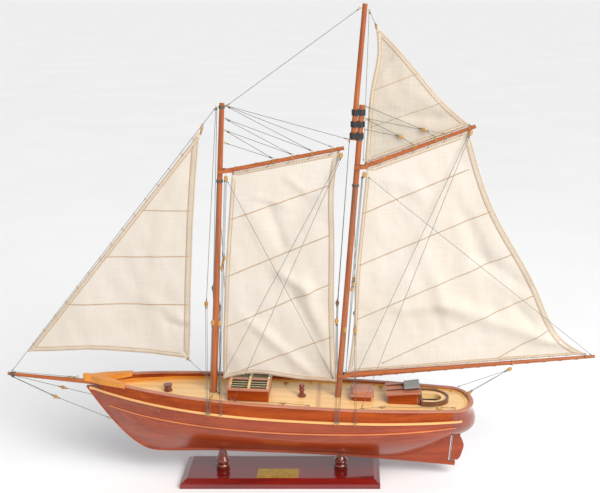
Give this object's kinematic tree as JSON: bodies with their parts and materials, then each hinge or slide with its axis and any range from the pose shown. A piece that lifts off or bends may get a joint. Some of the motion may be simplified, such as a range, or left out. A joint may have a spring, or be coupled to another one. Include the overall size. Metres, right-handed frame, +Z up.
{
  "type": "model sailing ship",
  "caption": "Wooden two-masted gaff schooner model with cotton sails, rigging, deck houses and a swinging rudder, on a lacquered display base.",
  "frame": {"origin": "centre of the base board's underside", "axes": "+X towards the stern, +Y to starboard, +Z up; the bowsprit points along -X"},
  "size_m": [0.6122, 0.0954, 0.4921],
  "materials": {
    "hull_wood": "satin varnish over reddish mahogany planks",
    "bulwark_wood": "satin varnish, orange-red mahogany",
    "rail_wood": "satin varnish, pinkish brown",
    "pale_wood": "satin varnish, pale maple planks",
    "golden_wood": "satin varnish, golden light wood",
    "dark_wood": "dark stain",
    "inner_wood": "bare plywood",
    "spar_wood": "satin varnish, reddish brown",
    "sailcloth": "plain-woven cream cotton",
    "black_band": "matt black",
    "hatch_grey": "matt grey paint",
    "pane_glass": "gloss black pane",
    "brass": "satin brass",
    "steel": "plain screw",
    "cordage": "twisted grey-beige rigging thread",
    "base_gloss": "high-gloss dark cherry lacquer"
  },
  "bodies": {
    "root": {"hull_shell": "hull_wood", "keel": "hull_wood", "stern_block": "hull_wood", "bulwark_port": "bulwark_wood", "bulwark_starboard": "bulwark_wood", "cap_rails": "rail_wood", "bow_cap": "golden_wood", "wales": "pale_wood", "lower_strips": "pale_wood", "bulkheads": "inner_wood", "deck": "pale_wood", "bowsprit": "spar_wood", "foremast": "spar_wood", "main_lower_mast": "spar_wood", "main_topmast": "spar_wood", "mast_bands": "black_band", "jib": "sailcloth", "skylight_house": "bulwark_wood", "skylight_roof": "rail_wood", "skylight_panes": "pane_glass", "skylight_bars": "brass", "hatch_coaming": "bulwark_wood", "hatch_lid": "rail_wood", "companionway_walls": "bulwark_wood", "companionway_roof": "rail_wood", "hatch_runners": "dark_wood", "cockpit_coaming": "dark_wood", "cockpit_well": "pale_wood", "cockpit_sole": "dark_wood", "capstan": "bulwark_wood", "bollard": "bulwark_wood", "deck_cleats": "brass", "hull_eyebolts": "brass", "spar_eyebolts": "brass", "rigging_blocks": "brass", "stays": "cordage", "fore_shrouds": "cordage", "main_shrouds": "cordage", "bowsprit_rigging": "cordage", "deck_lines": "cordage", "base_board": "base_gloss", "pedestal_fore": "base_gloss", "pedestal_aft": "base_gloss", "stand_screws": "steel", "name_plate": "brass"},
    "main_rig": {"main_boom": "spar_wood", "main_gaff": "spar_wood", "mainsail": "sailcloth", "topsail": "sailcloth", "main_halyards": "cordage", "main_rig_fittings": "brass", "main_vangs_and_sheet": "cordage"},
    "fore_rig": {"fore_gaff": "spar_wood", "foresail": "sailcloth", "fore_halyards": "cordage", "fore_gaff_fittings": "brass", "fore_vangs": "cordage"},
    "rudder": {"rudder": "hull_wood", "rudder_rod": "steel"},
    "hatch_slide": {"sliding_hatch": "hatch_grey"}
  },
  "joints": [
    {"name": "main_rig_swing", "type": "hinge", "parent": "root", "child": "main_rig", "pos_m": [0.056, 0, 0.036], "axis": [0.0798, 0, 0.9968], "range_deg": [-20, 20], "deforming": ["main_vangs_and_sheet"]},
    {"name": "fore_rig_swing", "type": "hinge", "parent": "root", "child": "fore_rig", "pos_m": [-0.0737, 0, 0.04], "axis": [0.0608, 0, 0.9981], "range_deg": [-12, 12], "deforming": ["fore_vangs"]},
    {"name": "rudder_turn", "type": "hinge", "parent": "root", "child": "rudder", "pos_m": [0.1799, 0, 0.0177], "axis": [0.0866, 0, 0.9962], "range_deg": [-30, 30]},
    {"name": "hatch_travel", "type": "slide", "parent": "root", "child": "hatch_slide", "axis": [-0.994, 0, -0.1089], "range_m": [0, 0.015]}
  ]
}
